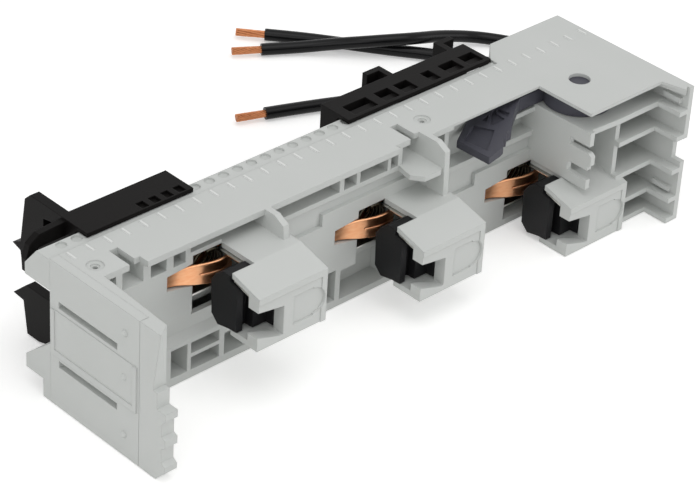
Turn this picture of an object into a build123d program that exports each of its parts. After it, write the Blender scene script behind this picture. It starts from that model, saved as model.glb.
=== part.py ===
from build123d import *
import os
from math import radians, sqrt, tan

os.makedirs("parts", exist_ok=True)

# Three-pole busbar adapter, lying on its long side. Millimetres.
# X runs along the adapter, Y from the busbars to the device, Z across its width.
# Every place below is measured from the datum: near end, seam plane, lower side.
# Places on a claw are measured from that claw's left side and its top, and places beside a claw
# from its left side and the lower side.

# Driving sizes
width = 45.0
depth = 15.0
wall = 2.0
rib = 1.6
clearance = 0.3
busbar_pitch = 60.0
pole_count = 3
bar_thickness = 5.0
claw_left = 37.5
claw_drop = 5.7
claw_height = 19.3
far_reach = 41.5

# The claws step down so that the last one ends level with the lower side
claw_top = width - claw_drop
claw_step = (claw_top - claw_height) / max(pole_count - 1, 1)
last_claw = claw_left + busbar_pitch * (pole_count - 1)
length = last_claw + far_reach

datum = Plane(origin=(-length / 2, depth / 2, 0))
uprights = [
    Plane(origin=datum.from_local_coords((claw_left + busbar_pitch * pole, 0, 0)))
    for pole in range(pole_count)
]
poles = [upright.offset(claw_top - claw_step * pole) for pole, upright in enumerate(uprights)]


def cross_plane(x, base=datum):
    """Plane across the adapter at a distance x from the base's origin, seen along +X."""
    return Plane(origin=base.from_local_coords((x, 0, 0)), x_dir=(0, 1, 0), z_dir=(1, 0, 0))


def facing_plane(y, base=datum):
    """Plane parallel to the rear wall at a distance y from the seam, seen along +Y."""
    return Plane(origin=base.from_local_coords((0, y, 0)), x_dir=(1, 0, 0), z_dir=(0, -1, 0))


def block(x, y, z, mode=Mode.ADD, base=datum):
    """Block between two corners, each argument a (low, high) pair from the base's origin."""
    with BuildSketch(base.offset(z[0])) as footprint:
        with Locations(((x[0] + x[1]) / 2, (y[0] + y[1]) / 2)):
            Rectangle(x[1] - x[0], y[1] - y[0])
    extrude(footprint.sketch, amount=z[1] - z[0], mode=mode)


def outline_prism(plane, points, thickness, mode=Mode.ADD):
    """Straight-sided outline on a plane, extruded along the plane's normal."""
    with BuildSketch(plane) as profile:
        with BuildLine():
            Polyline(*points, close=True)
        make_face()
    extrude(profile.sketch, amount=thickness, mode=mode)


def post(x, y, z, radius, mode=Mode.ADD, base=datum):
    """Round post along Z, z being a (low, high) pair."""
    with BuildSketch(base.offset(z[0])) as footprint:
        with Locations((x, y)):
            Circle(radius)
    extrude(footprint.sketch, amount=z[1] - z[0], mode=mode)


def export_pole_piece(builder, name, pole):
    builder.part.label = name + "_" + str(pole + 1)
    export_step(builder.part, "parts/" + builder.part.label + ".step")


# Rear wall, seam and side walls of the housing
rear = -depth
inner_rear = rear + wall
top_wall_low = width - wall

# Near end: slotted cover, housing flange behind it and the guard that stands out past the claws
cover_thickness = 2.8
end_wall = 5.6
guard_seam = rear - 21.0
guard_reach = rear - 28.9
guard_tip = (4.1, rear - 26.4)
guard_root = rear - 3.0
guard_teeth_high = 26.9
cover_slot_height = 2.0
cover_slot_y = (-27.2, -3.6)
cover_slot_z = (12.9, 31.5)
cover_rim = 0.5
cover_rim_z = (16.4, 30.4)
rim_width = 1.6
cover_bump_radius = 1.0
cover_bump_y = -30.2
cover_bump_z = (6.9, 24.9, 38.3)

# Gallery of pockets under the upper side
gallery_floor = width - 7.0
gallery_roof = width - 1.8
gallery_back = rear + 8.3
lip_reach = 1.8
lip_thickness = 1.8
bay_roof = 0.8
lip_start = 18.5

# Claw
claw_length = 24.0
claw_neck = 7.5
claw_face = 9.1
claw_throat = rear - 12.8
claw_bend = rear - 12.6
claw_front = rear - 23.5
claw_fall = 2.9
claw_plate = 1.6
claw_side = 1.8
claw_band = 2.0
band_relief = 0.3
ear_back = claw_front + 4.1
upper_ear = (-7.2, -8.6)
lower_ear = (-15.0, -17.9)
face_recess = 0.5
face_panel_x = (12.5, 19.5)
face_panel_z = (-16.0, -7.2)
face_dish_radius = 4.0

# Window behind each claw, shallow bands in the rear wall and the gusset beside the claw
window_x = (-2.3, 10.4)
window_z = (-18.9, -0.3)
recess_depth = 1.2
wide_band = (22.8, 43.9)
wide_band_low = -10.1
narrow_band_low = -6.3
gusset_x = (20.8, 22.8)
gusset_top = rear - 5.5
gusset_reach = rear - 9.0
gusset_drop = 1.8

# Far end: wiring chamber, comb and lever bay
far_start = last_claw + 6.0
hood_front = 9.4
hood_chamfer = 6.5
far_plate_edge = rear - 22.0
far_plate_lip = 1.0
far_plate_step = 2.0
chamber_left = far_start + 1.0
chamber_right = length - 18.6
chamber_top = width - 7.0
chamber_reach = rear - 21.3
chamber_notches = ((-15.5, -12.2), (-6.6, -4.5))
chamber_notch_back = rear - 14.3
chamber_tooth = (-10.4, -7.4)
chamber_tooth_reach = 1.0
comb_front = rear - 21.2
comb_turn = length - 5.0
comb_reach = rear - 29.6
comb_wall = 1.8
comb_levels = (rib, 8.5, 18.2, 29.5, chamber_top - 0.2)
comb_notch_z = (20.0, 27.8)
comb_notch_depth = 3.4
comb_ridge = 1.3
comb_ridge_z = ((9.4, 11.0), (39.3, 41.0))

# Lever, its bearing in the far end and the bay that its paddle lies in
hub_x = length - 23.3
hub_y = rear - 6.1
hub_radius = 10.2
hub_hole = 3.2
hub_boss = 1.0
running_clearance = 0.08
lever_low = chamber_top + clearance
lever_high = top_wall_low - clearance
lever_bay_x = (far_start - 34.5, far_start + 1.0)
lever_bay_z = (width - 15.8, width - bay_roof)
lever_bay_back = rear + 5.0
bay_rib = 1.8
bay_step = (far_start - 8.0, chamber_top - 0.9)
bay_nub_x = far_start - 17.3
arm_edge = rear - 0.5
arm_length = 20.7
paddle_length = 40.7
paddle_tip_z = (width - 11.2, width - 8.6)
panel_depth = 0.8

# Device side: guide strips
guide_top = width - 0.5
guide_flat = 5.5
guide_reach = 10.4
guide_shoulder = width - 6.4
guide_low = width - 9.9
guide_length = 125.5
guide_wall = 2.0
lower_guide_z = (5.6, 9.9, 18.6)
lower_guide_foot = 3.2
lower_guide_bend = 9.2
frame_web = 2.0
dimple_first = 1.7
dimple_pitch = 5.0
dimple_y = 3.7
dimple_radius = 1.5
dimple_depth = 0.6

# Contact, jaw and conductor of one pole
tongue_x = (-10.7, 10.0)
tongue_back = rear + 0.8
tongue_crest = (2.5, rear - 2.4)
tongue_thickness = 0.8
tongue_low = (-7.4, -9.1, -9.5)
tongue_high = (-3.8, -3.1)
slit_z = (-6.35, -5.85)
foot_y = (-8.2, -7.4)
contact_travel = 1.0
slot_back = foot_y[1] + contact_travel + clearance
spring_x = 3.6
spring_z = -5.7
spring_wire = 0.9
spring_radius = 4.6
spring_pitch = 1.3
spring_height = 5.9
jaw_x = (-0.5, 12.5)
jaw_back = rear - bar_thickness - clearance
jaw_steps_x = ((-0.5, 1.6), (1.6, 4.4), (4.4, 9.0))
jaw_edges = (rear - 15.6, rear - 13.4, rear - 16.4)
jaw_cut_y = (rear - 9.0, rear)
jaw_cut_z = (-9.0, 0)
clip_thickness = 0.5
clip_gap = 0.2
clip_width = 8.9
conductor_y = (-5.6, -4.1)
conductor_z = (-9.3, -3.3)
conductor_end = length - 11.0

# Leads
lead_y = sum(conductor_y) / 2
lead_z = claw_top + sum(conductor_z) / 2
lead_diameter = 4.0
strand_diameter = 2.4
strand_length = 9.5

# Places of the small pockets: before the first claw, then beside the first and the second claw
near_pockets = ((end_wall, 9.5), (11.6, lip_start), (21.0, 26.2), (28.6, 32.7))
pole_pockets = (
    ((22.8, 49.8), (51.5, 56.1)),
    ((-2.5, 7.9), (9.1, 11.8), (13.4, 20.8), (24.3, 29.9)),
)
lower_pockets = (
    (
        ((-9.2, -3.5), (2.6, 11.5)), ((-2.2, 7.7), (7.8, 11.3)), ((-2.2, 7.7), (2.5, 6.6)),
        ((9.5, 17.8), (2.3, 9.3)),
    ),
    (((-13.5, -9.9), (2.5, 12.5)), ((-8.0, 10.3), (2.0, 11.5))),
)
lower_gallery_top = 13.2
lower_gallery_end = 11.9
lip_gap = (10.5, 20.8)
notch_first = 13.9
notch_second = 16.2
notch_width = 2.8
notch_mouth = 4.6
notch_step = rear + 1.5
shelf_outline = (
    (22.5, rear), (22.5, rear - 7.4), (19.7, rear - 9.0), (13.7, rear - 8.9), (11.1, rear - 5.5),
    (12.1, rear),
)
groove_x = (-13.5, 19.5)
groove_outline = ((rear, 21.6), (rear + 1.6, 15.2), (rear, 12.7))
divider_places = (-16.5, 15.5)
divider_front = -6.5
dish_places = ((7.1, -9.6), (123.8, -9.2))
dish_radius = 2.4
dish_ring = 1.3
dish_depth = 0.4
dish_hole_radius = 0.7
tick_pitch = 6.0
tick_first = 5.05
tick_size = (0.8, 3.4)
tick_height = 0.2
tick_y = -2.4
tick_count = int((length - tick_first) / tick_pitch) + 1

with BuildPart() as housing:
    # hollow body, open to the device side
    block((cover_thickness, length), (rear, 0), (0, width))
    block((end_wall, far_start), (inner_rear, 0), (wall, top_wall_low), mode=Mode.SUBTRACT)
    # guard past the cover, thinner towards its toothed edge
    block((cover_thickness, end_wall), (guard_seam, rear), (0, width))
    guard_outline = (
        (guard_seam, 0), (guard_seam, width), (guard_reach, width), (guard_reach + 2.6, 27.0),
        (guard_reach + 1.0, guard_teeth_high), (guard_reach + 1.0, 22.0), (guard_reach - 2.3, 22.0),
        (guard_reach - 2.3, 19.8), (guard_reach - 0.9, 18.4), (guard_reach - 0.9, 14.4),
        (guard_reach - 2.3, 13.9), (guard_reach - 2.3, 11.6), (guard_reach - 0.9, 10.6),
        (guard_reach - 0.9, 6.3), (guard_reach - 2.3, 5.4), (guard_reach - 2.3, 3.6), (guard_reach + 1.3, 0),
    )
    outline_prism(cross_plane(0), guard_outline, end_wall)
    guard_taper = (
        (end_wall, guard_root), guard_tip, (guard_tip[0], guard_reach - 3), (end_wall, guard_reach - 3),
    )
    outline_prism(datum, guard_taper, width, mode=Mode.SUBTRACT)
    guard_corner = (guard_tip, (0.4, guard_reach), (guard_tip[0], guard_reach))
    outline_prism(datum.offset(guard_teeth_high), guard_corner, width, mode=Mode.SUBTRACT)
    # hood over the lead ends, chamfered towards the rails
    hood_outline = (
        (far_start, 0), (far_start, hood_front - hood_chamfer), (far_start + hood_chamfer, hood_front),
        (length, hood_front), (length, 0),
    )
    outline_prism(datum, hood_outline, width)
    block((far_start - wall, length - wall), (inner_rear, 0), (wall, chamber_top - wall), mode=Mode.SUBTRACT)
    hood_hollow = (
        (far_start - wall, 0), (far_start + wall, 0), (far_start + wall, hood_front - hood_chamfer - 1),
        (far_start + hood_chamfer + 1, hood_front - wall), (length - wall, hood_front - wall),
        (length - wall, 0), (length - wall, lever_bay_back + rib), (far_start - wall, lever_bay_back + rib),
    )
    outline_prism(datum.offset(wall), hood_hollow, width - 2 * wall, mode=Mode.SUBTRACT)
    # stiffening dividers inside, clear of the conductors that pass in front of them
    for upright in uprights:
        room = datum.to_local_coords(upright.origin).X
        for place in divider_places:
            if room + place < far_start - rib:
                block((place, place + rib), (inner_rear, divider_front), (wall, top_wall_low), base=upright)
    # gallery of pockets along the upper side
    gallery_z = (gallery_floor, gallery_roof)
    block((end_wall, lever_bay_x[0]), (rear, gallery_back + rib), (gallery_floor - rib, width))
    for pocket in near_pockets:
        block(pocket, (rear, gallery_back), gallery_z, mode=Mode.SUBTRACT)
    for upright, pockets in zip(uprights, pole_pockets):
        for pocket in pockets:
            block(pocket, (rear, gallery_back), gallery_z, mode=Mode.SUBTRACT, base=upright)
    above_claw = ((window_x[0] - 0.8, claw_neck, claw_top + 0.9), (claw_neck, gusset_x[0], claw_top))
    for left, right, low in above_claw:
        block((left, right), (rear, gallery_back), (low, gallery_roof), mode=Mode.SUBTRACT, base=uprights[0])
    # lip along the upper edge, with the two notches cut through it
    second_claw = claw_left + busbar_pitch
    lip_y = (rear - lip_reach, rear)
    lip_z = (width - lip_thickness, width)
    block((lip_start, second_claw + lip_gap[0]), lip_y, lip_z)
    block((second_claw + lip_gap[1], lever_bay_x[0]), lip_y, lip_z)
    block((lever_bay_x[0], far_start), lip_y, (width - bay_roof, width))
    for start in (notch_first, second_claw + notch_second):
        block((start, start + notch_width), (rear, gallery_back), (gallery_floor, width), mode=Mode.SUBTRACT)
        mouth_x = (start, start + notch_mouth)
        block(mouth_x, (rear - lip_reach, notch_step), (gallery_floor, width), mode=Mode.SUBTRACT)
    shelf_plane = Plane(origin=datum.from_local_coords((second_claw, 0, gallery_floor - rib)))
    outline_prism(shelf_plane, shelf_outline, rib)
    # pockets along the lower side
    block((end_wall, second_claw + lower_gallery_end), (rear, gallery_back), (0, lower_gallery_top))
    for upright, pockets in zip(uprights, lower_pockets):
        for pocket_x, pocket_z in pockets:
            block(pocket_x, (rear, gallery_back - rib), pocket_z, mode=Mode.SUBTRACT, base=upright)
    # bay behind the lever, with a step at its hub end and a nub under its roof
    block((lever_bay_x[0] - rib, length), (rear, lever_bay_back + rib), (lever_bay_z[0] - bay_rib, width))
    block(lever_bay_x, (rear, lever_bay_back), lever_bay_z, mode=Mode.SUBTRACT)
    block((bay_step[0], lever_bay_x[1]), (rear, lever_bay_back), (bay_step[1] - rib, bay_step[1]))
    post(bay_nub_x, rear + 0.8, (lever_high + 0.2, width - bay_roof / 2), 0.8)
    # upper plate of the far end, its free edges stepped below
    for low, inset in ((top_wall_low, far_plate_step), (width - far_plate_lip, 0)):
        edge = far_plate_edge + inset
        plate_outline = (
            (far_start + inset, rear + 1), (length, rear + 1), (length, comb_reach + wall),
            (length - 3.5, comb_reach), (comb_turn - 0.5, edge), (far_start + inset, edge),
        )
        outline_prism(datum.offset(low), plate_outline, width - low)
    # chamber walls, the left one notched and toothed
    floor3 = claw_height
    block((chamber_left, chamber_left + comb_wall), (chamber_reach - 0.5, rear), (floor3, chamber_top))
    tooth_outline = (
        (chamber_reach, chamber_tooth[0] - 1), (chamber_reach - 0.5 - chamber_tooth_reach, chamber_tooth[0]),
        (chamber_reach - 0.5 - chamber_tooth_reach, chamber_tooth[1]), (chamber_reach, chamber_tooth[1] + 1),
    )
    outline_prism(cross_plane(chamber_left, datum.offset(chamber_top)), tooth_outline, comb_wall)
    for low, high in chamber_notches:
        block((chamber_left, chamber_left + comb_wall), (chamber_reach - 2, chamber_notch_back), (low, high),
              mode=Mode.SUBTRACT, base=datum.offset(chamber_top))
    block((chamber_right - comb_wall, chamber_right), (chamber_reach + 2, rear), (0, chamber_top))
    chamber_roof = (
        (chamber_left, rear), (chamber_left, chamber_reach + 0.8), (chamber_left + 4, chamber_reach + 0.6),
        (chamber_right - 2, chamber_reach), (length - comb_wall, chamber_reach), (length - comb_wall, rear),
    )
    outline_prism(datum.offset(chamber_top - comb_wall), chamber_roof, comb_wall)
    lever_room = ((lever_bay_x[1], length - comb_wall), (far_plate_edge, lever_bay_back + 0.6))
    block(lever_room[0], lever_room[1], (chamber_top, top_wall_low), mode=Mode.SUBTRACT)
    # comb of cable shelves
    far_wall = (
        (rear, 0), (rear, width), (comb_reach, width), (comb_reach, comb_notch_z[1]),
        (comb_reach + comb_notch_depth, comb_notch_z[1]), (comb_reach + comb_notch_depth, comb_notch_z[0]),
        (comb_reach, comb_notch_z[0]), (comb_reach, 0),
    )
    outline_prism(cross_plane(length - comb_wall), far_wall, comb_wall)
    ridge_x = (length - comb_wall - comb_ridge, length - comb_wall)
    for ridge_z in comb_ridge_z:
        block(ridge_x, (comb_reach + wall, comb_front), ridge_z)
    comb_outline = (
        (chamber_right - comb_wall, rear), (chamber_right - comb_wall, comb_front), (comb_turn, comb_front),
        (comb_turn, comb_reach), (length - comb_wall / 2, comb_reach), (length - comb_wall / 2, rear),
    )
    for level in comb_levels:
        outline_prism(datum.offset(level - rib), comb_outline, rib)
    # claws
    for pole in poles:
        upper_edge = ((rear, 0), (claw_bend, 0), (claw_front, -claw_fall))
        plate_outline = upper_edge + (
            (claw_front, -claw_fall - claw_plate), (claw_bend, -claw_plate), (rear, -claw_plate),
        )
        side_outline = upper_edge + ((claw_front, -claw_height), (rear, -claw_height))
        sides_z = (-claw_height, -claw_fall)
        front_y = (claw_front + band_relief, claw_front + claw_side)
        outline_prism(cross_plane(0, pole), plate_outline, claw_length)
        outline_prism(cross_plane(claw_length - claw_side, pole), side_outline, claw_side)
        floor_z = (-claw_height, -claw_height + claw_side)
        band_z = (-claw_fall - claw_band, -claw_fall)
        block((0, claw_length), (claw_front + band_relief, rear), floor_z, base=pole)
        block((claw_face, claw_length), front_y, sides_z, base=pole)
        block((0, claw_length), (claw_front, claw_front + claw_side), band_z, base=pole)
        block((claw_face, claw_face + claw_side), (front_y[0], ear_back), sides_z, base=pole)
        ear_plane = facing_plane(ear_back, pole)
        lower_ear_outline = (
            (0, -claw_height), (claw_face, -claw_height), (claw_face, lower_ear[1]), (0, lower_ear[0]),
        )
        upper_ear_outline = (
            (0, upper_ear[0]), (claw_face, upper_ear[1]), (claw_face, -claw_fall), (0, -claw_fall),
        )
        for ear_outline in (lower_ear_outline, upper_ear_outline):
            outline_prism(ear_plane, ear_outline, ear_back - front_y[0])
        # shallow panel with a round dish in the face
        face_plane = facing_plane(front_y[0] + face_recess, pole)
        with BuildSketch(face_plane) as face_panel:
            with Locations((sum(face_panel_x) / 2, sum(face_panel_z) / 2)):
                Rectangle(face_panel_x[1] - face_panel_x[0], face_panel_z[1] - face_panel_z[0])
            with Locations((face_panel_x[1], sum(face_panel_z) / 2)):
                Circle(face_dish_radius)
        extrude(face_panel.sketch, amount=2 * face_recess, mode=Mode.SUBTRACT)
        # throat for the busbar, and the window for the contact
        block((0, claw_neck), (claw_throat, rear), (-claw_height, 0), mode=Mode.SUBTRACT, base=pole)
        window_low = max(window_z[0], datum.origin.Z + wall - pole.origin.Z)
        block(window_x, (rear, slot_back), (window_low, window_z[1] - 0.1), mode=Mode.SUBTRACT, base=pole)
        slot_left = tongue_x[0] - clearance
        slot_outline = (
            (slot_left, tongue_low[0] - 2 * clearance), (window_x[0], tongue_low[1] - 2 * clearance),
            (window_x[0], tongue_high[1] + clearance), (slot_left, tongue_high[0] + clearance),
        )
        outline_prism(facing_plane(slot_back, pole), slot_outline, slot_back - rear, mode=Mode.SUBTRACT)
    # gussets of the claws before the last
    for pole in poles[:-1]:
        top = datum.to_local_coords(pole.origin).Z
        gusset_outline = (
            (rear, 0), (rear, width - top), (gusset_top, width - top),
            (gusset_reach, width - gusset_drop - top), (gusset_reach - 0.5, 0),
        )
        outline_prism(cross_plane(gusset_x[0], pole), gusset_outline, gusset_x[1] - gusset_x[0])
    # shallow groove before the first claw and shallow bands after the claws in the rear wall
    groove_plane = cross_plane(groove_x[0], uprights[0])
    outline_prism(groove_plane, groove_outline, groove_x[1] - groove_x[0], mode=Mode.SUBTRACT)
    band_tops = (gallery_floor - rib, lever_bay_z[0] - bay_rib)
    band_ends = (busbar_pitch + gusset_x[0], chamber_left - claw_left - busbar_pitch)
    for pole, band_top, band_end in zip(poles, band_tops, band_ends):
        high = band_top - datum.to_local_coords(pole.origin).Z
        recess_y = (rear, rear + recess_depth)
        block(wide_band, recess_y, (wide_band_low, high), mode=Mode.SUBTRACT, base=pole)
        block((wide_band[1], band_end), recess_y, (narrow_band_low, high), mode=Mode.SUBTRACT, base=pole)
    # lever bearing, lead outlets, dished holes and scale marks
    post(hub_x, hub_y, (chamber_top - comb_wall - 1, chamber_top), hub_hole, mode=Mode.SUBTRACT)
    post(hub_x, hub_y, (top_wall_low, width), hub_hole, mode=Mode.SUBTRACT)
    with BuildSketch(cross_plane(length - 2 * wall)) as outlets:
        with Locations(*[(lead_y, lead_z - claw_step * pole) for pole in range(pole_count)]):
            Circle(lead_diameter / 2 + clearance)
    extrude(outlets.sketch, amount=3 * wall, mode=Mode.SUBTRACT)
    for x, y in dish_places:
        post(x, y, (width - dish_depth, width), dish_radius, mode=Mode.SUBTRACT)
        post(x, y, (width - 2 * dish_depth, width), dish_ring, mode=Mode.SUBTRACT)
        post(x, y, (top_wall_low, width), dish_hole_radius, mode=Mode.SUBTRACT)
    with BuildSketch(datum.offset(width - tick_height)) as ticks:
        with Locations(*[(tick_first + tick_pitch * mark, tick_y) for mark in range(tick_count)]):
            Rectangle(*tick_size)
    extrude(ticks.sketch, amount=2 * tick_height)
housing.part.label = "housing"
export_step(housing.part, "parts/housing.step")

# Cover of the near end, with two long slots and a raised rim round the middle panel
with BuildPart() as end_cover:
    block((0, cover_thickness), (guard_seam + 0.1, 0), (0, width))
    rim_y = (guard_seam + 0.8, -0.6)
    rim_inner_y = (rim_y[0] + rim_width, rim_y[1] - rim_width)
    block((-cover_rim, 0), rim_y, cover_rim_z)
    block((-cover_rim, -0.2), rim_inner_y, (cover_rim_z[0] + rim_width, cover_rim_z[1]), mode=Mode.SUBTRACT)
    for low in cover_slot_z:
        slot_z = (low, low + cover_slot_height)
        block((-cover_rim, cover_thickness), cover_slot_y, slot_z, mode=Mode.SUBTRACT)
    with Locations(*[datum.from_local_coords((0, cover_bump_y, z)) for z in cover_bump_z]):
        Sphere(cover_bump_radius)
end_cover.part.label = "end_cover"
export_step(end_cover.part, "parts/end_cover.step")

# Frame on the device side, with a guide strip along each long edge
with BuildPart() as front_frame:
    frame_end = far_start - wall - clearance
    block((end_wall + clearance, frame_end), (-frame_web, 0), (wall + clearance, top_wall_low - clearance))
    guide_outer = (
        (0, guide_low), (0, guide_top), (guide_flat, guide_top), (guide_reach, guide_shoulder),
        (guide_reach, guide_low),
    )
    guide_inner = (
        (guide_reach - guide_wall, guide_low), (guide_reach - guide_wall, guide_shoulder - 0.7),
        (guide_flat - 0.8, guide_top - guide_wall), (guide_wall, guide_top - guide_wall),
        (guide_wall, guide_low),
    )
    outline_prism(cross_plane(0), guide_outer + guide_inner, guide_length)
    outline_prism(cross_plane(0), guide_outer, guide_wall)
    block((0, far_start - clearance), (0, guide_wall), (guide_low, guide_top))
    lower_guide = (
        (0, 0), (0, lower_guide_z[2]), (lower_guide_bend, lower_guide_z[1] + 1),
        (guide_reach, lower_guide_z[1]), (guide_reach, lower_guide_z[0]),
        (lower_guide_foot, lower_guide_z[0]), (lower_guide_foot, 0),
    )
    outline_prism(cross_plane(0), lower_guide, far_start - clearance)
    dimple_count = int((guide_length - dimple_first) / dimple_pitch)
    with BuildSketch(datum.offset(guide_top - dimple_depth)) as dimples:
        with Locations(*[(dimple_first + dimple_pitch * i, dimple_y) for i in range(1, dimple_count + 1)]):
            Circle(dimple_radius)
    extrude(dimples.sketch, amount=2 * dimple_depth, mode=Mode.SUBTRACT)
front_frame.part.label = "front_frame"
export_step(front_frame.part, "parts/front_frame.step")

# Slate grey lever, x from its axis: hub under the upper plate, arm along the body, sloping paddle
lever_datum = Plane(origin=datum.from_local_coords((hub_x, 0, 0)))
arm_back = lever_bay_back - clearance
paddle_edge = rear - 10.9
paddle_slope = (lever_high - paddle_tip_z[1]) / (paddle_length - arm_length)
slope_stretch = sqrt(1 + paddle_slope ** 2)
slope_plane = Plane(
    origin=lever_datum.from_local_coords((-paddle_length, 0, paddle_tip_z[1])),
    x_dir=(1, 0, paddle_slope), z_dir=(-paddle_slope, 0, 1),
)


def on_slope(points):
    """Points given as x from the lever's axis and y from the seam, on the paddle's sloping face."""
    return [((x + paddle_length) * slope_stretch, y) for x, y in points]


with BuildPart() as lever:
    paddle_side = (
        (-paddle_length - 1.5, paddle_tip_z[0]),
        (-paddle_length - 1.5, paddle_tip_z[1] - 1.5 * paddle_slope),
        (-arm_length, lever_high), (-arm_length, lever_low),
    )
    outline_prism(facing_plane(arm_back, lever_datum), paddle_side, arm_back - paddle_edge)
    paddle_plan = (
        (-paddle_length - 0.8, rear + 1.5), (-paddle_length - 0.4, paddle_edge), (-36.7, paddle_edge),
        (-35.3, -25.6), (-33.6, -23.6), (-32.6, -24.0), (-30.9, -22.6), (-29.4, -22.8), (-25.0, -19.2),
        (-arm_length, -16.6), (-arm_length, arm_back), (-paddle_length + 6, arm_back),
    )
    outline_prism(lever_datum.offset(paddle_tip_z[0] - 1), paddle_plan, width, mode=Mode.INTERSECT)
    recess_outlines = (
        ((-34.5, -13.0), (-32.5, -19.2), (-39.5, -23.4), (-40.3, -14.8)),
        ((-31.7, -13.3), (-29.0, -13.3), (-31.4, -15.0)),
        ((-26.2, -13.3), (-28.0, -13.5), (-31.4, -16.4), (-31.4, -17.6), (-27.7, -18.4), (-27.4, -14.6)),
        ((-25.8, -13.8), (-26.6, -14.8), (-26.7, -18.4), (-25.2, -17.8)),
    )
    for outline in recess_outlines:
        panel_plane = slope_plane.offset(-panel_depth)
        outline_prism(panel_plane, on_slope(outline), 2 * panel_depth, mode=Mode.SUBTRACT)
    arm_outline = (
        (-arm_length, -16.6), (-arm_length + 2, arm_edge), (0, arm_edge), (0, arm_back),
        (-arm_length, arm_back),
    )
    outline_prism(lever_datum.offset(lever_low), arm_outline, lever_high - lever_low)
    post(0, hub_y, (lever_low, lever_high), hub_radius, base=lever_datum)
    pin_radius = hub_hole - running_clearance
    post(0, hub_y, (chamber_top - comb_wall, top_wall_low + hub_boss), pin_radius, base=lever_datum)
lever.part.label = "lever"
export_step(lever.part, "parts/lever.step")


def claw_underside(y):
    """Height of the claw plate's lower face, from the claw's top."""
    return -claw_plate - claw_fall * max(claw_bend - y, 0) / (claw_bend - claw_front)


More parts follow.
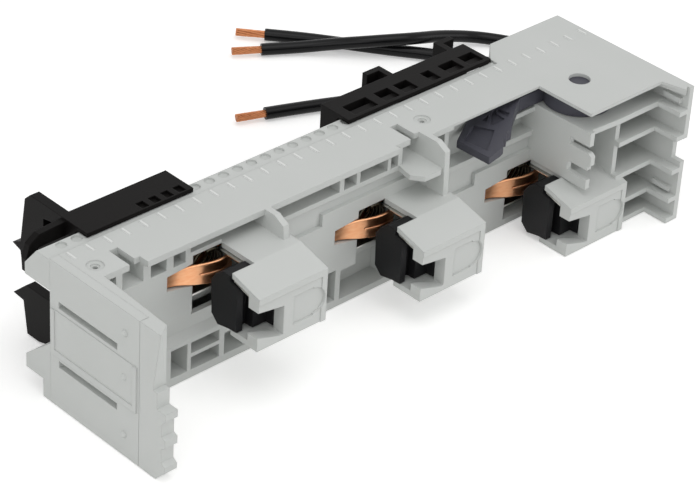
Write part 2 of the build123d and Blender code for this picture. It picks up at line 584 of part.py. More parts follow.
# Pieces of each pole
for number, pole in enumerate(poles):
    floor = datum.origin.Z + wall - pole.origin.Z
    with BuildPart() as jaw:
        mouth = claw_throat + 0.2
        jaw_front = ear_back + 0.4
        jaw_outline = (
            (jaw_back - 1.8, -2.7), (mouth + 3, -0.9), (mouth, -0.9), (mouth, claw_underside(mouth) - 1.1),
            (jaw_front, claw_underside(jaw_front) - 1.1), (jaw_front, claw_side - claw_height + 0.6),
            (mouth - 2, claw_side - claw_height + 0.3), (mouth, claw_side - claw_height + 0.2),
            (jaw_back - 2.9, 1.1 - claw_height), (jaw_back - 0.4, 3.5 - claw_height), (jaw_back, -5.4),
        )
        outline_prism(cross_plane(jaw_x[0], pole), jaw_outline, jaw_x[1] - jaw_x[0])
        behind_neck = (claw_neck - clearance, jaw_x[1])
        jaw_high = (-claw_plate - clip_thickness - 2 * clip_gap, 0)
        jaw_low = (-claw_height, claw_side - claw_height + clearance)
        jaw_y = (jaw_front, rear)
        for cut_y, cut_z in ((jaw_y, jaw_high), (jaw_y, jaw_low), (jaw_cut_y, jaw_cut_z)):
            block(behind_neck, cut_y, cut_z, mode=Mode.SUBTRACT, base=pole)
        for step_x, edge in zip(jaw_steps_x, jaw_edges):
            block(step_x, (jaw_front, edge), (-claw_height, 0), mode=Mode.SUBTRACT, base=pole)
    export_pole_piece(jaw, "jaw", number)

    with BuildPart() as claw_clip:
        clip_line = [(y, claw_underside(y) - clip_gap) for y in (ear_back + 0.2, claw_bend, rear - 1.0)]
        clip_outline = clip_line + [(y, z - clip_thickness) for y, z in reversed(clip_line)]
        outline_prism(cross_plane(0.1, pole), clip_outline, clip_width)
        clip_throat = (0, claw_neck - 0.1)
        block(clip_throat, (claw_throat - 0.6, rear), (-claw_height, 0), mode=Mode.SUBTRACT, base=pole)
    export_pole_piece(claw_clip, "claw_clip", number)

    with BuildPart() as contact:
        with BuildSketch(pole.offset(tongue_low[2])) as blade:
            with BuildLine():
                tip = (tongue_x[0], tongue_back)
                bend = (tongue_x[0] + 6.7, tongue_back - 0.9)
                end = (tongue_x[1], tongue_crest[1] + 0.9)
                front = Spline(tip, bend, tongue_crest, end)
                Line(end, (end[0], end[1] + tongue_thickness))
                Spline(*[(point[0], point[1] + tongue_thickness) for point in (end, tongue_crest, bend, tip)])
                Line((tip[0], tip[1] + tongue_thickness), tip)
            make_face()
        extrude(blade.sketch, amount=tongue_high[1] - tongue_low[2])
        blade_z = (tongue_low[2], tongue_high[1])
        riser_x = (tongue_x[0], tongue_x[0] + tongue_thickness)
        block(riser_x, (tongue_back + 0.2, foot_y[1]), blade_z, base=pole)
        block(tongue_x, foot_y, blade_z, base=pole)
        blade_face = (
            (tongue_x[0], tongue_low[0]), (window_x[0], tongue_low[1]), (spring_x, tongue_low[2]),
            (tongue_x[1], tongue_low[2]), (tongue_x[1], tongue_high[1]), (window_x[0], tongue_high[1]),
            (tongue_x[0], tongue_high[0]),
        )
        blade_depth = (foot_y[1] + 1, tongue_crest[1] - 1)
        blade_reach = blade_depth[0] - blade_depth[1]
        outline_prism(facing_plane(blade_depth[0], pole), blade_face, blade_reach, mode=Mode.INTERSECT)
        block((-0.9, tongue_x[1]), (blade_depth[1], foot_y[0] - 3), slit_z, mode=Mode.SUBTRACT, base=pole)
    export_pole_piece(contact, "contact", number)

    spring_foot = pole.from_local_coords((spring_x, foot_y[0] - spring_wire / 2 - 0.05, spring_z))
    with BuildPart() as contact_spring:
        with BuildLine() as coil:
            Helix(spring_pitch, spring_height, spring_radius, center=spring_foot, direction=(0, -1, 0))
        with BuildSketch(Plane(origin=coil.line @ 0, z_dir=coil.line % 0)) as wire:
            Circle(spring_wire / 2)
        sweep(wire.sketch, path=coil.line, is_frenet=True)
    export_pole_piece(contact_spring, "contact_spring", number)

    carrier_x = (window_x[0] + 0.2, window_x[1] - 0.2)
    carrier_high = 5.6 - claw_height
    carrier_front = inner_rear + 2.4
    with BuildPart() as contact_carrier:
        carrier_low = max(window_z[0] + clearance, floor + 0.2)
        block(carrier_x, (carrier_front, slot_back - 0.2), (carrier_low, carrier_high), base=pole)
    export_pole_piece(contact_carrier, "contact_carrier", number)

    with BuildPart() as contact_strip:
        strip_z = (carrier_high, carrier_high + 0.6)
        block(carrier_x, (inner_rear - 1.2, slot_back - 0.2), strip_z, base=pole)
    export_pole_piece(contact_strip, "contact_strip", number)

    with BuildPart() as conductor:
        reach = conductor_end - claw_left - busbar_pitch * number
        block((tongue_x[0], reach), conductor_y, conductor_z, base=pole)
    export_pole_piece(conductor, "conductor", number)

# Support rails
rail_side_low = guide_top + clearance
rail_side_high = width + 1.0
rail_near = 1.8
rail_floor = 0.6
rail_clip = 1.6
rail_web = (guide_reach + clearance, 13.2)
rail1_x = (13.6, 49.4)
rail2_x = (far_start - 57.5, far_start - 1.0)
pocket_y = (3.0, 3.8, 6.2, 8.4)
pocket_floor = 0.4
pocket_depth = 3.0


def rail_profile(x):
    """Web and side of a rail, with the clips that hold it on both guide strips."""
    block(x, rail_web, (rail_floor, rail_side_high))
    block(x, (rail_near, rail_web[1]), (rail_side_low, rail_side_high))
    wedge_outline = (
        (guide_flat + 0.4, rail_side_low), (rail_web[0], guide_shoulder + clearance),
        (rail_web[1], guide_shoulder + clearance), (rail_web[1], rail_side_low),
    )
    outline_prism(cross_plane(x[0]), wedge_outline, x[1] - x[0])
    block(x, (guide_wall, rail_web[1]), (guide_low - clearance - rail_clip, guide_low - clearance))
    lower_high = lower_guide_z[0] - clearance
    block(x, (lower_guide_foot + clearance, rail_web[1]), (lower_high - rail_clip, lower_high))


rail1_plate = 3.0
rail1_pocket = (2.4, 3.0)
rail1_pocket_pitch = 4.2
rail1_pocket_depth = 0.9
with BuildPart() as rail_1:
    rail_profile(rail1_x)
    upper_lobe = (
        (rail_web[0], rail_side_high), (25.7, rail_side_high), (28.0, 43.8), (30.2, 29.2), (33.7, 27.4),
        (30.3, 26.4), (29.9, 23.9), (rail_web[0], 30.0),
    )
    lower_lobe = (
        (rail_web[0], 14.0), (18.0, 16.4), (27.9, 16.4), (33.7, 11.2), (29.3, 10.8), (27.8, rail_floor),
        (22.9, rail_floor), (rail_web[0], 4.0),
    )
    for lobe in (upper_lobe, lower_lobe):
        outline_prism(cross_plane(rail1_x[0]), lobe, rail1_plate)
    lobe_hole = ((20.1, 41.5), (14.2, 42.6), (20.1, 38.0))
    outline_prism(cross_plane(rail1_x[0]), lobe_hole, rail1_plate, mode=Mode.SUBTRACT)
    # bent bar that follows the near end of the guide strip
    guide_bar = (
        (rail1_x[0] + 1, 41.0), (rail1_x[0] + 1, 45.4), (5.0, 44.8), (1.8, 42.6), (0.7, 38.6), (0.9, 34.6),
        (2.7, 34.9), (3.0, 38.4), (5.0, 40.8),
    )
    outline_prism(facing_plane(rail_web[1] - 0.4), guide_bar, rail_web[1] - 0.4 - rail_web[0])
    with BuildSketch(datum.offset(rail_side_high - rail1_pocket_depth)) as pockets:
        with Locations(*[(33.6 + rail1_pocket_pitch * i, 3.8) for i in range(4)]):
            Rectangle(*rail1_pocket)
    extrude(pockets.sketch, amount=rail1_pocket_depth, mode=Mode.SUBTRACT)
rail_1.part.label = "rail_1"
export_step(rail_1.part, "parts/rail_1.step")

din_width = 35.0
din_height = 19.0
din_lip = 4.5
din_wall = 2.0
rail2_windows = ((3.5, 12.5), (15.6, 21.0), (23.2, 28.4), (34.0, 37.4), (41.0, 47.0), (49.2, 54.8))
with BuildPart() as rail_2:
    rail_profile(rail2_x)
    flange_left = rail2_x[1] - din_width
    hat_x = (flange_left, flange_left + din_lip, flange_left + din_lip + din_wall)
    hat_left = (
        (hat_x[0], din_height), (hat_x[0], din_height - din_wall), (hat_x[1], din_height - din_wall),
        (hat_x[1], rail_web[1]), (hat_x[2], rail_web[1]), (hat_x[2], din_height),
    )
    hat_right = [(2 * rail2_x[1] - din_width - x, y) for x, y in hat_left]
    for hat in (hat_left, hat_right):
        outline_prism(datum.offset(rail_floor), hat, rail_side_high - rail_floor)
    pocket_floors = (rail_side_low, rail_side_low + pocket_floor, rail_side_high - pocket_depth)
    for start, end in rail2_windows:
        window = (rail2_x[0] + start, rail2_x[0] + end)
        for near, far, low in zip(pocket_y, pocket_y[1:], pocket_floors):
            block(window, (near, far), (low, rail_side_high), mode=Mode.SUBTRACT)
rail_2.part.label = "rail_2"
export_step(rail_2.part, "parts/rail_2.step")

# Leads, from the conductors out through the end of the hood and along the surface
floor_z = lead_diameter / 2 + 0.2
lead_routes = (
    (
        (conductor_end, lead_y, lead_z), (209, lead_y, lead_z), (226, 3, 22), (235, 20, 7),
        (239, 37, floor_z), (237.5, 54, floor_z), (229.5, 67, floor_z), (216.5, 71.8, 5.0),
        (205.5, 73.4, 7.0), (198, 78, 6.9), (192, 83.2, 6.0), (186, 90.6, 4.1), (177.5, 98.6, floor_z),
        (167.1, 104.9, floor_z),
    ),
    (
        (conductor_end, lead_y, lead_z - claw_step), (207, lead_y, lead_z - claw_step), (219, 5, 11),
        (226, 21, floor_z + 0.2), (226, 38, floor_z), (219, 54, floor_z), (208.5, 68.5, floor_z),
        (198.5, 81, floor_z), (188.8, 94.5, floor_z), (181.5, 104, floor_z), (174.8, 111.6, floor_z),
    ),
    (
        (conductor_end, lead_y, lead_z - 2 * claw_step), (205, lead_y, lead_z - 2 * claw_step), (214, 5, 5),
        (217, 19, floor_z), (212, 34, floor_z), (200, 46.5, floor_z), (185, 55.5, floor_z),
        (169, 62.2, floor_z), (154, 68.9, floor_z), (141.1, 73.8, floor_z),
    ),
)


def lead_radii(points):
    """Largest even bend at each corner: 0.45 of the shorter run over the tangent of half the turn."""
    runs = [after - before for before, after in zip(points, points[1:])]
    return [
        0.45 * min(one.length, two.length) / tan(radians(one.get_angle(two) / 2))
        for one, two in zip(runs, runs[1:])
    ]


for number, route in enumerate(lead_routes):
    points = [datum.from_local_coords(point) for point in route]
    with BuildPart() as lead:
        with BuildLine() as path:
            FilletPolyline(*points, radius=lead_radii(points))
        with BuildSketch(Plane(origin=path.line @ 0, z_dir=path.line % 0)) as section:
            Circle(lead_diameter / 2)
        sweep(section.sketch, path=path.line)
    print("lead", number + 1, "length", round(path.wire().length, 1))
    export_pole_piece(lead, "lead", number)
    with BuildPart() as lead_strands:
        with BuildSketch(Plane(origin=path.line @ 1, z_dir=path.line % 1)) as section:
            Circle(strand_diameter / 2)
        extrude(section.sketch, amount=strand_length)
    export_pole_piece(lead_strands, "lead_strands", number)
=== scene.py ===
import bpy
import math
from mathutils import Vector, Matrix


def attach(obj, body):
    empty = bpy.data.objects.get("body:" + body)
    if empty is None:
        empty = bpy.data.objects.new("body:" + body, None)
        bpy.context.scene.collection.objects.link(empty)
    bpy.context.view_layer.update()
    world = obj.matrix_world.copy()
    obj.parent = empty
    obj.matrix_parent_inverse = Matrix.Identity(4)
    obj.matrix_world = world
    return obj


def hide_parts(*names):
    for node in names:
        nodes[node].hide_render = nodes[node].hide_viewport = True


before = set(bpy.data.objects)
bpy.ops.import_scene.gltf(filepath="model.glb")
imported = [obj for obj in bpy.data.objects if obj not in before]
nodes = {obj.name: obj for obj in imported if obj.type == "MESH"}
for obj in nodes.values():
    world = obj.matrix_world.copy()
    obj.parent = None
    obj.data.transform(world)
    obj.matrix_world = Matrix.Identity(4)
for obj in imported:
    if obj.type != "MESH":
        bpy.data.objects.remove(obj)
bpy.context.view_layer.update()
scene = bpy.context.scene
millimetre = 0.001
datumShift = Vector((-99.5, 7.5, 0.0))  # the near end, the seam plane and the lower side, in the frame
white = (1.0, 1.0, 1.0, 1.0)
print("frame loaded:", len(nodes), "nodes")


def place(x, y, z):
    # a point measured from the datum in mm becomes a point of the frame in metres
    return (Vector((x, y, z)) + datumShift) * millimetre


# camera, at the photograph's angle
camera = {
    "place": (-353.6, -458.8, 428.3),  # mm from the datum
    "azimuth": -45.151,  # degrees, as the next two
    "elevation": 33.041,
    "roll": 3.516,
    "focal": 2720.26,  # in pixels of the picture
    "pictureWidth": 700,
    "sensor": 36.0,  # mm across
    "clip": (0.01, 20.0),  # m
}


def makeCamera(spec):
    turn, tilt, roll = (math.radians(spec[key]) for key in ("azimuth", "elevation", "roll"))
    back = Vector((math.sin(turn) * math.cos(tilt), -math.cos(turn) * math.cos(tilt), math.sin(tilt)))
    right = Vector((math.cos(turn), math.sin(turn), 0.0))
    up = back.cross(right)
    right, up = (
        right * math.cos(roll) + up * math.sin(roll),
        up * math.cos(roll) - right * math.sin(roll),
    )
    data = bpy.data.cameras.new("viewCamera")
    data.sensor_width = spec["sensor"]
    data.lens = spec["focal"] / spec["pictureWidth"] * spec["sensor"]
    data.clip_start, data.clip_end = spec["clip"]
    obj = bpy.data.objects.new("viewCamera", data)
    turned = Matrix((right, up, back)).transposed().to_4x4()
    obj.matrix_world = Matrix.Translation(place(*spec["place"])) @ turned
    scene.collection.objects.link(obj)
    scene.camera = obj


makeCamera(camera)
scene.view_settings.view_transform = "Standard"
print("camera placed")


def linear(hexText):
    # an sRGB hex colour becomes linear, with full alpha
    values = [int(hexText[i:i + 2], 16) / 255 for i in (1, 3, 5)]
    return [v / 12.92 if v <= 0.04045 else ((v + 0.055) / 1.055) ** 2.4 for v in values] + [1.0]


def addNode(tree, kind, settings=(), links=()):
    # settings go to the node's own properties or its sockets, links to its sockets
    node = tree.nodes.new(kind)
    for name, value in dict(settings).items():
        if isinstance(name, str) and hasattr(node, name):
            setattr(node, name, value)
        else:
            node.inputs[name].default_value = value
    for socket, source in dict(links).items():
        tree.links.new(source, node.inputs[socket])
    return node


def newMaterial(name):
    material = bpy.data.materials.new(name)
    material.use_nodes = True
    material.node_tree.nodes.clear()
    return material, material.node_tree


# studio: pale floor, soft light, white background for the camera and for reflections; places and sizes in m
studio = {
    "floorColour": "#F4F4F3",
    "floorHalf": 6.0,
    "floorDrop": 0.0002,  # keeps the floor just under the lowest face
    "floorLift": 0.36,  # added where the camera or gloss looks at the floor
    "worldLight": 0.56,
    "background": 1.0,
    "lampAim": (0.0, 0.0, 0.02),
    "lamps": (  # name, place, size, power in W
        ("overheadLamp", (-0.15, -0.25, 1.15), 1.0, 3.5),
        ("leftLamp", (-1.0, -0.35, 0.55), 0.9, 1.9),
        ("rightLamp", (0.75, -0.95, 0.5), 0.8, 2.6),
    ),
}


def seenRays(tree):
    # 1 on the rays that show the background: the camera's own, and those in gloss and in clear material
    rays = addNode(tree, "ShaderNodeLightPath").outputs
    seen = addNode(
        tree, "ShaderNodeMath", {"operation": "MAXIMUM"}, {0: rays["Is Camera Ray"], 1: rays["Is Glossy Ray"]}
    )
    seen = addNode(
        tree, "ShaderNodeMath", {"operation": "MAXIMUM"}, {0: seen.outputs[0], 1: rays["Is Transmission Ray"]}
    )
    return seen.outputs[0]


def makeStudio(spec):
    world = bpy.data.worlds.new("studioWorld")
    world.use_nodes = True
    tree = world.node_tree
    tree.nodes.clear()
    light = addNode(tree, "ShaderNodeBackground", {"Color": white, "Strength": spec["worldLight"]})
    shown = addNode(tree, "ShaderNodeBackground", {"Color": white, "Strength": spec["background"]})
    mix = addNode(
        tree, "ShaderNodeMixShader", (),
        {0: seenRays(tree), 1: light.outputs[0], 2: shown.outputs[0]},
    )
    addNode(tree, "ShaderNodeOutputWorld", (), {"Surface": mix.outputs[0]})
    scene.world = world

    # painted board: flat white, lifted where it is looked at, so that only shadows show on it
    material, tree = newMaterial("paintedBoardWhite")
    shader = addNode(tree, "ShaderNodeBsdfDiffuse", {"Color": linear(spec["floorColour"])})
    lift = addNode(
        tree, "ShaderNodeMath", {"operation": "MULTIPLY", 1: spec["floorLift"]}, {0: seenRays(tree)}
    )
    glow = addNode(tree, "ShaderNodeEmission", {"Color": white}, {"Strength": lift.outputs[0]})
    total = addNode(tree, "ShaderNodeAddShader", (), {0: shader.outputs[0], 1: glow.outputs[0]})
    addNode(tree, "ShaderNodeOutputMaterial", (), {"Surface": total.outputs[0]})
    mesh = bpy.data.meshes.new("floor")
    half = spec["floorHalf"]
    corners = [(-half, -half, 0), (half, -half, 0), (half, half, 0), (-half, half, 0)]
    mesh.from_pydata(corners, [], [(0, 1, 2, 3)])
    floor = bpy.data.objects.new("floor", mesh)
    mesh.materials.append(material)
    scene.collection.objects.link(floor)
    floor.location.z = -spec["floorDrop"]

    for name, where, size, power in spec["lamps"]:
        data = bpy.data.lights.new(name, "AREA")
        data.shape = "DISK"
        data.size = size
        data.energy = power
        lamp = bpy.data.objects.new(name, data)
        lamp.location = where
        aim = Vector(spec["lampAim"]) - Vector(where)
        lamp.rotation_euler = aim.to_track_quat("-Z", "Y").to_euler()
        scene.collection.objects.link(lamp)


makeStudio(studio)
print("studio made")


# materials: pattern widths, edge radii and reliefHeight in mm; relief is a share of that height
plastics = {"cloudDetail": 2.0, "grainDetail": 1.0, "edgeSamples": 6, "glossSpread": 0.04}
metals = {"lineDetail": 2.0, "edgeSamples": 4, "glossSpread": 0.08}
reliefHeight = 0.1


def patternScale(width):
    # the texture scale at which one patch or line is as wide as this
    return 1.0 / (width * millimetre)


def addSurface(tree, spec, kind, tone, relief, shine):
    # tone moves colour and roughness, relief lifts the surface, and edges look rounded
    colour = addNode(
        tree, "ShaderNodeMix",
        {"data_type": "RGBA", 6: linear(spec["dark"]), 7: linear(spec["light"])}, {0: tone},
    )
    low, high = (spec["roughness"] + sign * kind["glossSpread"] for sign in (-1, 1))
    roughness = addNode(tree, "ShaderNodeMapRange", {"To Min": low, "To Max": high}, {"Value": tone})
    edge = addNode(
        tree, "ShaderNodeBevel", {"samples": kind["edgeSamples"], "Radius": spec["edgeRadius"] * millimetre}
    )
    bump = addNode(
        tree, "ShaderNodeBump", {"Strength": spec["relief"], "Distance": reliefHeight * millimetre},
        {"Height": relief, "Normal": edge.outputs[0]},
    )
    shader = addNode(
        tree, "ShaderNodeBsdfPrincipled", shine,
        {"Base Color": colour.outputs[2], "Roughness": roughness.outputs[0], "Normal": bump.outputs[0]},
    )
    addNode(tree, "ShaderNodeOutputMaterial", (), {"Surface": shader.outputs[0]})


def mouldedPlastic(name, spec):
    # cloud is the slow change of tone, grain the fine unevenness of the skin
    material, tree = newMaterial(name)
    where = addNode(tree, "ShaderNodeTexCoord").outputs["Object"]
    cloud = addNode(
        tree, "ShaderNodeTexNoise",
        {"Scale": patternScale(spec["cloudWidth"]), "Detail": plastics["cloudDetail"]}, {"Vector": where},
    )
    grain = addNode(
        tree, "ShaderNodeTexNoise",
        {"Scale": patternScale(spec["grainWidth"]), "Detail": plastics["grainDetail"]}, {"Vector": where},
    )
    shine = {"IOR": spec["ior"], "Specular IOR Level": spec["sheen"]}
    addSurface(tree, spec, plastics, cloud.outputs[0], grain.outputs[0], shine)
    return material


def drawnMetal(name, spec):
    # lines run along x, lineStretch times longer than wide, and with 1 they are a mottle
    material, tree = newMaterial(name)
    where = addNode(tree, "ShaderNodeTexCoord").outputs["Object"]
    stretched = addNode(
        tree, "ShaderNodeMapping", {"Scale": (1.0 / spec["lineStretch"], 1.0, 1.0)}, {"Vector": where}
    )
    lines = addNode(
        tree, "ShaderNodeTexNoise",
        {"Scale": patternScale(spec["lineWidth"]), "Detail": metals["lineDetail"]},
        {"Vector": stretched.outputs[0]},
    )
    addSurface(tree, spec, metals, lines.outputs[0], lines.outputs[0], {"Metallic": 1.0})
    return material


# moulded polyamide, light grey: an even, slightly satin surface; the real grain of these mouldings
# is under 0.1 mm, too fine to show, so on all of them it is drawn at 0.4 mm
lightGreyPolyamide = mouldedPlastic("mouldedPolyamideLightGrey", {
    "dark": "#C6C9C6", "light": "#CED0CE", "roughness": 0.5, "ior": 1.45, "sheen": 0.45,
    "cloudWidth": 25.0, "grainWidth": 0.4, "relief": 0.12, "edgeRadius": 0.32,
})
# the same polyamide on the raised marks, a little glossier, and coloured lighter as a painted highlight for
# the light the marks catch
paintedHighlightPolyamide = mouldedPlastic("mouldedPolyamidePaintedHighlight", {
    "dark": "#DDDFDD", "light": "#E6E7E5", "roughness": 0.38, "ior": 1.45, "sheen": 0.5,
    "cloudWidth": 25.0, "grainWidth": 0.4, "relief": 0.05, "edgeRadius": 0.1,
})
# glass-filled polyamide, black: deep black and nearly matt, on the rails
blackPolyamide = mouldedPlastic("mouldedPolyamideBlack", {
    "dark": "#0E0D0D", "light": "#161413", "roughness": 0.46, "ior": 1.5, "sheen": 0.07,
    "cloudWidth": 16.67, "grainWidth": 0.4, "relief": 0.25, "edgeRadius": 0.3,
})
# polyamide from a polished tool, black: a shade lighter, with a faint sheen, in the claws
satinBlackPolyamide = mouldedPlastic("mouldedPolyamideSatinBlack", {
    "dark": "#18181A", "light": "#202021", "roughness": 0.42, "ior": 1.5, "sheen": 0.16,
    "cloudWidth": 16.67, "grainWidth": 0.4, "relief": 0.2, "edgeRadius": 0.35,
})
# moulded polyamide, slate grey: bluish dark grey, satin
slatePolyamide = mouldedPlastic("mouldedPolyamideSlate", {
    "dark": "#46464E", "light": "#4F4F58", "roughness": 0.45, "ior": 1.48, "sheen": 0.3,
    "cloudWidth": 16.67, "grainWidth": 0.4, "relief": 0.2, "edgeRadius": 0.3,
})
# extruded PVC insulation, black: smooth with a soft gloss along the lead; its unevenness is
# too fine to show as well, and is drawn at 0.667 mm
leadInsulation = mouldedPlastic("extrudedPvcBlack", {
    "dark": "#0E0E0F", "light": "#141415", "roughness": 0.24, "ior": 1.5, "sheen": 0.18,
    "cloudWidth": 11.11, "grainWidth": 0.667, "relief": 0.05, "edgeRadius": 0.2,
})
# rolled copper strip: warm metal with faint rolling lines along its length; the real lines are a
# few hundredths of a mm apart, too fine to show, so on all four metals they are drawn coarser
rolledCopper = drawnMetal("rolledCopper", {
    "dark": "#F0A070", "light": "#FFC99C", "roughness": 0.32,
    "lineStretch": 12.5, "lineWidth": 0.667, "relief": 0.15, "edgeRadius": 0.3,
})
# spring steel wire, phosphated: dull olive grey with a soft sheen on each turn
phosphatedSteel = drawnMetal("phosphatedSpringSteel", {
    "dark": "#35322C", "light": "#5F5A4C", "roughness": 0.42,
    "lineStretch": 1.0, "lineWidth": 0.667, "relief": 0.1, "edgeRadius": 0.05,
})
# spring steel strip, bright drawn: pale grey with soft reflections
springSteel = drawnMetal("drawnSpringSteel", {
    "dark": "#B4B3AD", "light": "#DCDBD6", "roughness": 0.3,
    "lineStretch": 10.0, "lineWidth": 0.833, "relief": 0.1, "edgeRadius": 0.1,
})
# stranded bare copper, slightly dulled: browner than the strip, with mottled tone
strandedCopper = drawnMetal("strandedCopper", {
    "dark": "#A8663F", "light": "#DD9C70", "roughness": 0.38,
    "lineStretch": 1.0, "lineWidth": 1.111, "relief": 0.1, "edgeRadius": 0.05,
})
print("materials made")


# the CAD nodes get their finish
finishes = {
    "housing": lightGreyPolyamide, "end_cover": lightGreyPolyamide, "front_frame": lightGreyPolyamide,
    "lever": slatePolyamide, "rail_1": blackPolyamide, "rail_2": blackPolyamide,
    "jaw": satinBlackPolyamide, "claw_clip": springSteel, "contact": rolledCopper,
    "contact_spring": phosphatedSteel, "contact_carrier": lightGreyPolyamide, "contact_strip": springSteel,
    "conductor": rolledCopper, "lead": leadInsulation, "lead_strands": strandedCopper,
}


def dress(obj, material):
    obj.data.materials.clear()
    obj.data.materials.append(material)


for name, obj in nodes.items():
    kind = name if name in finishes else name.rsplit("_", 1)[0]
    dress(obj, finishes[kind])
print("nodes dressed")


# what the laid pieces share
blockFaces = ((3, 2, 1, 0), (4, 5, 6, 7), (0, 1, 5, 4), (1, 2, 6, 5), (2, 3, 7, 6), (3, 0, 4, 7))


def addInput(tree, name, kind):
    return tree.interface.new_socket(name=name, in_out="INPUT", socket_type=kind).identifier


def finishTree(tree, geometry, finish):
    # every tree ends in real geometry with its material on
    tree.interface.new_socket(name="Geometry", in_out="OUTPUT", socket_type="NodeSocketGeometry")
    real = addNode(tree, "GeometryNodeRealizeInstances", (), {"Geometry": geometry})
    coated = addNode(tree, "GeometryNodeSetMaterial", (), {"Geometry": real.outputs[0], "Material": finish})
    addNode(tree, "NodeGroupOutput", (), {0: coated.outputs[0]})


def grown(name, tree, sockets, values, start=None):
    # runs a tree on a mesh, empty if none is given, and gives back the plain mesh that it makes
    start = start or bpy.data.meshes.new(name + "Start")
    source = bpy.data.objects.new(name + "Source", start)
    scene.collection.objects.link(source)
    modifier = source.modifiers.new("grow", "NODES")
    modifier.node_group = tree
    for key, value in values.items():
        modifier[sockets[key]] = value
    evaluated = source.evaluated_get(bpy.context.evaluated_depsgraph_get())
    mesh = bpy.data.meshes.new_from_object(evaluated)
    mesh.name = name
    source.modifiers.remove(modifier)
    bpy.data.objects.remove(source)
    bpy.data.meshes.remove(start)
    return mesh


def blockMesh(name, foot, crown, toFrame):
    # a block between two level rectangles, each given by its low and its high corner
    points = [
        toFrame((x, y, low[2]))
        for low, high in (foot, crown)
        for x, y in ((low[0], low[1]), (high[0], low[1]), (high[0], high[1]), (low[0], high[1]))
    ]
    mesh = bpy.data.meshes.new(name)
    mesh.from_pydata(points, [], blockFaces)
    return mesh


def addPiece(name, mesh, body):
    # a finished mesh becomes a piece that moves with its body
    obj = bpy.data.objects.new(name, mesh)
    scene.collection.objects.link(obj)
    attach(obj, body)
    return obj


# scale marks: low bars with sloping sides along the edge of the top plate
scaleMarks = {
    "first": 5.05,  # mm from the near end to the first mark
    "pitch": 6.0,
    "count": 33,
    "y": -2.4,
    "top": 45.0,
    "foot": (1.05, 3.65),  # along x and y
    "crown": (0.55, 3.15),
    "height": 0.26,
}


def makeRowTree():
    tree = bpy.data.node_groups.new("evenRow", "GeometryNodeTree")
    sockets = {
        "Bar": addInput(tree, "Bar", "NodeSocketGeometry"),
        "Count": addInput(tree, "Count", "NodeSocketInt"),
        "Start": addInput(tree, "Start", "NodeSocketVector"),
        "Step": addInput(tree, "Step", "NodeSocketVector"),
        "Finish": addInput(tree, "Finish", "NodeSocketMaterial"),
    }
    given = addNode(tree, "NodeGroupInput").outputs
    row = addNode(
        tree, "GeometryNodeMeshLine", (),
        {"Count": given["Count"], "Start Location": given["Start"], "Offset": given["Step"]},
    )
    bars = addNode(
        tree, "GeometryNodeInstanceOnPoints", (), {"Points": row.outputs[0], "Instance": given["Bar"]}
    )
    finishTree(tree, bars.outputs[0], given["Finish"])
    return tree, sockets


def makeScaleMarks(spec):
    tree, sockets = makeRowTree()
    foot, crown = (
        ((-size[0] / 2, -size[1] / 2, z), (size[0] / 2, size[1] / 2, z))
        for size, z in ((spec["foot"], 0.0), (spec["crown"], spec["height"]))
    )
    bar = blockMesh("scaleMark", foot, crown, lambda point: Vector(point) * millimetre)
    # the marks get the lighter polyamide: their colour is a painted highlight
    values = {
        "Count": spec["count"], "Start": place(spec["first"], spec["y"], spec["top"]),
        "Step": (spec["pitch"] * millimetre, 0.0, 0.0), "Finish": paintedHighlightPolyamide,
    }
    addPiece("scaleMarks", grown("scaleMarks", tree, sockets, values, bar), "adapter")


makeScaleMarks(scaleMarks)
print("scale marks laid")


# claws: where each one stands, and the pieces that are laid on it
claws = {
    "count": 3,
    "first": (37.5, 39.3),  # mm from the near end to its left side, and from the lower side to its top
    "pitch": (60.0, -10.0),  # from one claw to the next, in the same directions
}
# coined rims of each copper contact, along its upper edge and along the lower lip of its slot;
# these points and the next are in mm from the claw's left side, the seam and the claw's top
coinedRims = {
    "sides": 10,
    "lines": (  # radius, then points
        (0.42, (
            (-9.4, -13.8, -3.97), (-7.56, -13.9, -3.82), (-5.39, -14.37, -3.64), (-2.3, -15.45, -3.38),
            (0.1, -16.39, -3.38), (2.37, -17.09, -3.38), (4.36, -17.44, -3.38), (5.5, -17.48, -3.38),
            (7.2, -17.29, -3.38), (9.3, -16.59, -3.38),
        )),
        (0.4, (
            (-0.7, -16.05, -6.5), (0.1, -16.36, -6.5), (2.37, -17.05, -6.5), (4.36, -17.4, -6.5),
            (5.5, -17.44, -6.5), (7.2, -17.25, -6.5), (9.3, -16.55, -6.5),
        )),
    ),
}
# edge of the steel clip that stands out beside the neck of each claw, under its plate
clipEdges = {
    "low": (6.6, -27.2, -2.2),
    "high": (7.5, -15.3, -1.85),
}


def onClaw(index, point):
    left, top = (first + index * pitch for first, pitch in zip(claws["first"], claws["pitch"]))
    return place(left + point[0], point[1], top + point[2])


def makeRimTree():
    tree = bpy.data.node_groups.new("roundRim", "GeometryNodeTree")
    sockets = {
        "Line": addInput(tree, "Line", "NodeSocketGeometry"),
        "Radius": addInput(tree, "Radius", "NodeSocketFloat"),
        "Sides": addInput(tree, "Sides", "NodeSocketInt"),
        "Finish": addInput(tree, "Finish", "NodeSocketMaterial"),
    }
    given = addNode(tree, "NodeGroupInput").outputs
    line = addNode(tree, "GeometryNodeMeshToCurve", (), {"Mesh": given["Line"]})
    section = addNode(
        tree, "GeometryNodeCurvePrimitiveCircle", (),
        {"Resolution": given["Sides"], "Radius": given["Radius"]},
    )
    rim = addNode(
        tree, "GeometryNodeCurveToMesh", {"Fill Caps": True},
        {"Curve": line.outputs[0], "Profile Curve": section.outputs[0]},
    )
    smooth = addNode(tree, "GeometryNodeSetShadeSmooth", (), {"Geometry": rim.outputs[0]})
    finishTree(tree, smooth.outputs[0], given["Finish"])
    return tree, sockets


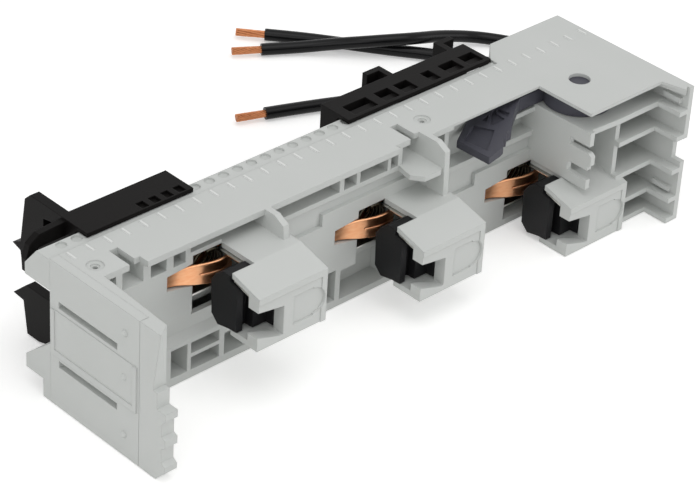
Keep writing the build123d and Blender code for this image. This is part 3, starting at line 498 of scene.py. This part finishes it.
def makeCoinedRims(spec):
    tree, sockets = makeRimTree()
    for index in range(claws["count"]):
        for number, (radius, points) in enumerate(spec["lines"]):
            name = "coinedRim%d_%d" % (index + 1, number + 1)
            line = bpy.data.meshes.new(name + "Line")
            edges = [(i, i + 1) for i in range(len(points) - 1)]
            line.from_pydata([onClaw(index, point) for point in points], edges, [])
            values = {"Radius": radius * millimetre, "Sides": spec["sides"], "Finish": rolledCopper}
            addPiece(name, grown(name, tree, sockets, values, line), "contact_%d" % (index + 1))


def makeClipEdges(spec):
    low, high = spec["low"], spec["high"]
    foot = (low, (high[0], high[1], low[2]))
    crown = ((low[0], low[1], high[2]), high)
    for index in range(claws["count"]):
        name = "clipEdge%d" % (index + 1)
        mesh = blockMesh(name, foot, crown, lambda point: onClaw(index, point))
        mesh.materials.append(springSteel)
        addPiece(name, mesh, "adapter")


makeCoinedRims(coinedRims)
makeClipEdges(clipEdges)
print("contact rims and clip edges laid")


# leads: one smooth line each, from the hood's outlet to the bare end
leads = {
    "diameter": 4.0,  # mm, as all sizes and places here
    "outletX": 199.0,
    "wireY": -4.85,
    "wireZ": (33.0, 23.0, 13.0),
    "lengths": (190.7, 163.0, 143.2),
    "curveOrder": 3,
    "curveSteps": 12,
    "roundSteps": 6,
    "routes": (
        (
            (188, -4.85, 33), (209, -4.85, 33), (226, 3, 22), (235, 20, 7), (239, 37, 2.2),
            (237.5, 54, 2.2), (229.5, 67, 2.2), (216.5, 71.8, 5.0), (205.5, 73.4, 7.0), (198, 78, 6.9),
            (192, 83.2, 6.0), (186, 90.6, 4.1), (177.5, 98.6, 2.2), (167.1, 104.9, 2.2),
        ),
        (
            (188, -4.85, 23), (207, -4.85, 23), (219, 5, 11), (226, 21, 2.4),
            (226, 38, 2.2), (219, 54, 2.2), (208.5, 68.5, 2.2), (198.5, 81, 2.2),
            (188.8, 94.5, 2.2), (181.5, 104, 2.2), (174.8, 111.6, 2.2),
        ),
        (
            (188, -4.85, 13), (205, -4.85, 13), (214, 5, 5), (217, 19, 2.2),
            (212, 34, 2.2), (200, 46.5, 2.2), (185, 55.5, 2.2), (169, 62.2, 2.2),
            (154, 68.9, 2.2), (141.1, 73.8, 2.2),
        ),
    ),
}
# bare end: one straight wire, six laid round it and twelve round those, all in one twist
strands = {
    "wire": 0.48,  # mm across each wire
    "length": 9.5,
    "layers": ((6, 0.48), (12, 0.96)),  # wires, and the radius in mm that their centres lie on
    "twist": 0.35,  # turns in the bare length
    "splay": 1.1,  # how far a layer opens towards the tip
    "wireSides": 8,
    "steps": 28,
}


def makeStrandTree(spec):
    tree = bpy.data.node_groups.new("twistedStrands", "GeometryNodeTree")
    sockets = {
        "Wire Radius": addInput(tree, "Wire Radius", "NodeSocketFloat"),
        "Length": addInput(tree, "Length", "NodeSocketFloat"),
        "Twist": addInput(tree, "Twist", "NodeSocketFloat"),
        "Splay": addInput(tree, "Splay", "NodeSocketFloat"),
        "Finish": addInput(tree, "Finish", "NodeSocketMaterial"),
    }
    for layer in range(len(spec["layers"])):
        for name, kind in (("Wires %d", "NodeSocketInt"), ("Layer Radius %d", "NodeSocketFloat")):
            sockets[name % layer] = addInput(tree, name % layer, kind)
    given = addNode(tree, "NodeGroupInput").outputs
    section = addNode(
        tree, "GeometryNodeCurvePrimitiveCircle", {"Resolution": spec["wireSides"]},
        {"Radius": given["Wire Radius"]},
    )
    tip = addNode(tree, "ShaderNodeCombineXYZ", (), {"Z": given["Length"]})
    core = addNode(tree, "GeometryNodeCurvePrimitiveLine", (), {"End": tip.outputs[0]})
    wires = [(core.outputs[0], None)]
    for layer in range(len(spec["layers"])):
        radius = given["Layer Radius %d" % layer]
        opened = addNode(tree, "ShaderNodeMath", {"operation": "MULTIPLY"}, {0: radius, 1: given["Splay"]})
        spiral = addNode(
            tree, "GeometryNodeCurveSpiral", {"Resolution": spec["steps"]},
            {
                "Rotations": given["Twist"], "Start Radius": radius, "End Radius": opened.outputs[0],
                "Height": given["Length"],
            },
        )
        wires.append((spiral.outputs[0], given["Wires %d" % layer]))
    join = addNode(tree, "GeometryNodeJoinGeometry")
    for curve, count in wires:
        wire = addNode(
            tree, "GeometryNodeCurveToMesh", {"Fill Caps": True},
            {"Curve": curve, "Profile Curve": section.outputs[0]},
        ).outputs[0]
        if count is not None:
            points = addNode(tree, "GeometryNodePoints", (), {"Count": count})
            index = addNode(tree, "GeometryNodeInputIndex")
            share = addNode(
                tree, "ShaderNodeMath", {"operation": "DIVIDE"}, {0: index.outputs[0], 1: count}
            )
            angle = addNode(
                tree, "ShaderNodeMath", {"operation": "MULTIPLY", 1: 2 * math.pi}, {0: share.outputs[0]}
            )
            euler = addNode(tree, "ShaderNodeCombineXYZ", (), {"Z": angle.outputs[0]})
            turn = addNode(tree, "FunctionNodeEulerToRotation", (), {0: euler.outputs[0]})
            wire = addNode(
                tree, "GeometryNodeInstanceOnPoints", (),
                {"Points": points.outputs[0], "Instance": wire, "Rotation": turn.outputs[0]},
            ).outputs[0]
        tree.links.new(wire, join.inputs[0])
    smooth = addNode(tree, "GeometryNodeSetShadeSmooth", (), {"Geometry": join.outputs[0]})
    finishTree(tree, smooth.outputs[0], given["Finish"])
    return tree, sockets


def makeStrands(spec, tree, sockets, index):
    values = {
        "Wire Radius": spec["wire"] / 2 * millimetre, "Length": spec["length"] * millimetre,
        "Twist": spec["twist"], "Splay": spec["splay"], "Finish": strandedCopper,
    }
    for layer, (count, radius) in enumerate(spec["layers"]):
        values["Wires %d" % layer] = count
        values["Layer Radius %d" % layer] = radius * millimetre
    name = "bareStrands%d" % (index + 1)
    mesh = grown(name, tree, sockets, values)
    before, end = (place(*point) for point in leads["routes"][index][-2:])
    along = (end - before).normalized()
    mesh.transform(Matrix.Translation(end) @ along.to_track_quat("Z", "Y").to_matrix().to_4x4())
    obj = addPiece(name, mesh, "adapter")
    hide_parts("lead_strands_%d" % (index + 1))
    return obj


def makeLead(spec, index, bareEnd):
    name = "insulatedLead%d" % (index + 1)
    data = bpy.data.curves.new(name, "CURVE")
    data.dimensions = "3D"
    points = spec["routes"][index]
    line = data.splines.new("NURBS")
    line.points.add(len(points) - 1)
    for point, where in zip(line.points, points):
        point.co = (*place(*where), 1.0)
    line.order_u = spec["curveOrder"]
    line.use_endpoint_u = True
    line.resolution_u = spec["curveSteps"]
    data.bevel_depth = spec["diameter"] / 2 * millimetre
    data.bevel_resolution = spec["roundSteps"]
    data.use_fill_caps = True
    obj = bpy.data.objects.new(name, data)
    data.materials.append(leadInsulation)
    scene.collection.objects.link(obj)
    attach(obj, "adapter")
    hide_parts("lead_%d" % (index + 1))


strandTree, strandSockets = makeStrandTree(strands)
for index in range(len(leads["routes"])):
    makeLead(leads, index, makeStrands(strands, strandTree, strandSockets, index))
print("leads and bare ends laid")
